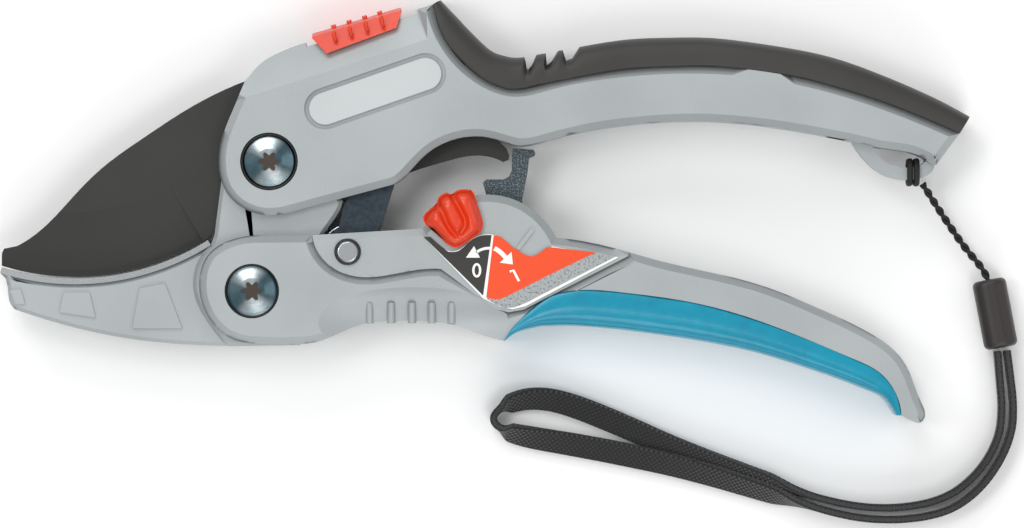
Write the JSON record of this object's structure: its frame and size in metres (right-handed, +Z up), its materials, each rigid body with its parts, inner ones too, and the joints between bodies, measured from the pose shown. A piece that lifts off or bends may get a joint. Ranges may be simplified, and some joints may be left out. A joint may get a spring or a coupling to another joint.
{
  "type": "pruning shears",
  "caption": "Ratchet anvil hand shears: dark blade between two bowed handles, selector dial with lever, sliding lock and a braided wrist lanyard.",
  "frame": {"origin": "on the blade's pivot axis, in the plane the shears lie on", "axes": "+X towards the handle ends, +Y across the handles to the upper one, +Z up from the plane they lie on"},
  "size_m": [0.2262, 0.1164, 0.0226],
  "materials": {
    "cast": "satin",
    "cover": "satin",
    "badge": "satin",
    "pad": "polished",
    "steel": "satin",
    "zinc": "polished",
    "blade": "satin",
    "link": "mottled satin",
    "hook": "speckled matt",
    "grip": "gloss",
    "dial": "printed",
    "orange": "gloss",
    "cord": "braided",
    "bead": "satin",
    "spring": "polished"
  },
  "bodies": {
    "frame": {"upper_handle": "cast", "upper_grip": "cover", "badge_plate": "badge", "anvil_body": "cast", "anvil_pad": "pad", "anvil_dowels": "steel", "blade_bolt": "zinc", "blade_nut": "zinc", "lanyard_knot": "cord", "lanyard_string": "cord", "lanyard_bead": "bead", "lanyard_strap": "cord"},
    "cutting_blade": {"blade": "blade", "blade_bush": "steel"},
    "squeeze_handle": {"lower_handle": "cast", "lower_grip": "grip", "dial_plate": "dial", "handle_bolt": "zinc", "handle_nut": "zinc", "handle_washers": "steel", "link_rivet": "steel", "return_spring": "spring", "hook_pin": "steel", "selector_spindle": "steel"},
    "ratchet_link": {"link_plates": "link", "link_pin": "steel"},
    "selector": {"selector_lever": "steel", "selector_knob": "orange"},
    "hook": {"tail_hook": "hook"},
    "lock": {"lock_slider": "orange", "lock_bolt": "steel"}
  },
  "joints": [
    {"name": "handle_pivot", "type": "hinge", "parent": "frame", "child": "squeeze_handle", "pos_m": [-0.0038, -0.0287, 0.0095], "axis": [0, 0, -1], "range_deg": [0, 25], "deforming": ["lanyard_strap"]},
    {"name": "blade_pivot", "type": "hinge", "parent": "frame", "child": "cutting_blade", "pos_m": [0, 0, 0.0095], "axis": [0, 0, -1], "range_deg": [0, 25]},
    {"name": "link_pivot", "type": "hinge", "parent": "squeeze_handle", "child": "ratchet_link", "pos_m": [0.0174, -0.02, 0.0095], "axis": [0, 0, 1], "range_deg": [0, 25]},
    {"name": "selector_turn", "type": "hinge", "parent": "squeeze_handle", "child": "selector", "pos_m": [0.0482, -0.0244, 0.0134], "axis": [0, 0, -1], "range_deg": [0, 65]},
    {"name": "hook_tilt", "type": "hinge", "parent": "squeeze_handle", "child": "hook", "pos_m": [0.0527, -0.0156, 0.0095], "axis": [0, 0, -1], "range_deg": [0, 13]},
    {"name": "lock_slide", "type": "slide", "parent": "frame", "child": "lock", "axis": [0.9588, 0.284, 0], "range_m": [0, 0.0025]}
  ],
  "couplings": [
    {"joint": "blade_pivot", "follows": "handle_pivot", "ratio": 1},
    {"joint": "link_pivot", "follows": "handle_pivot", "ratio": 1},
    {"joint": "hook_tilt", "follows": "selector_turn", "ratio": 0.2}
  ]
}
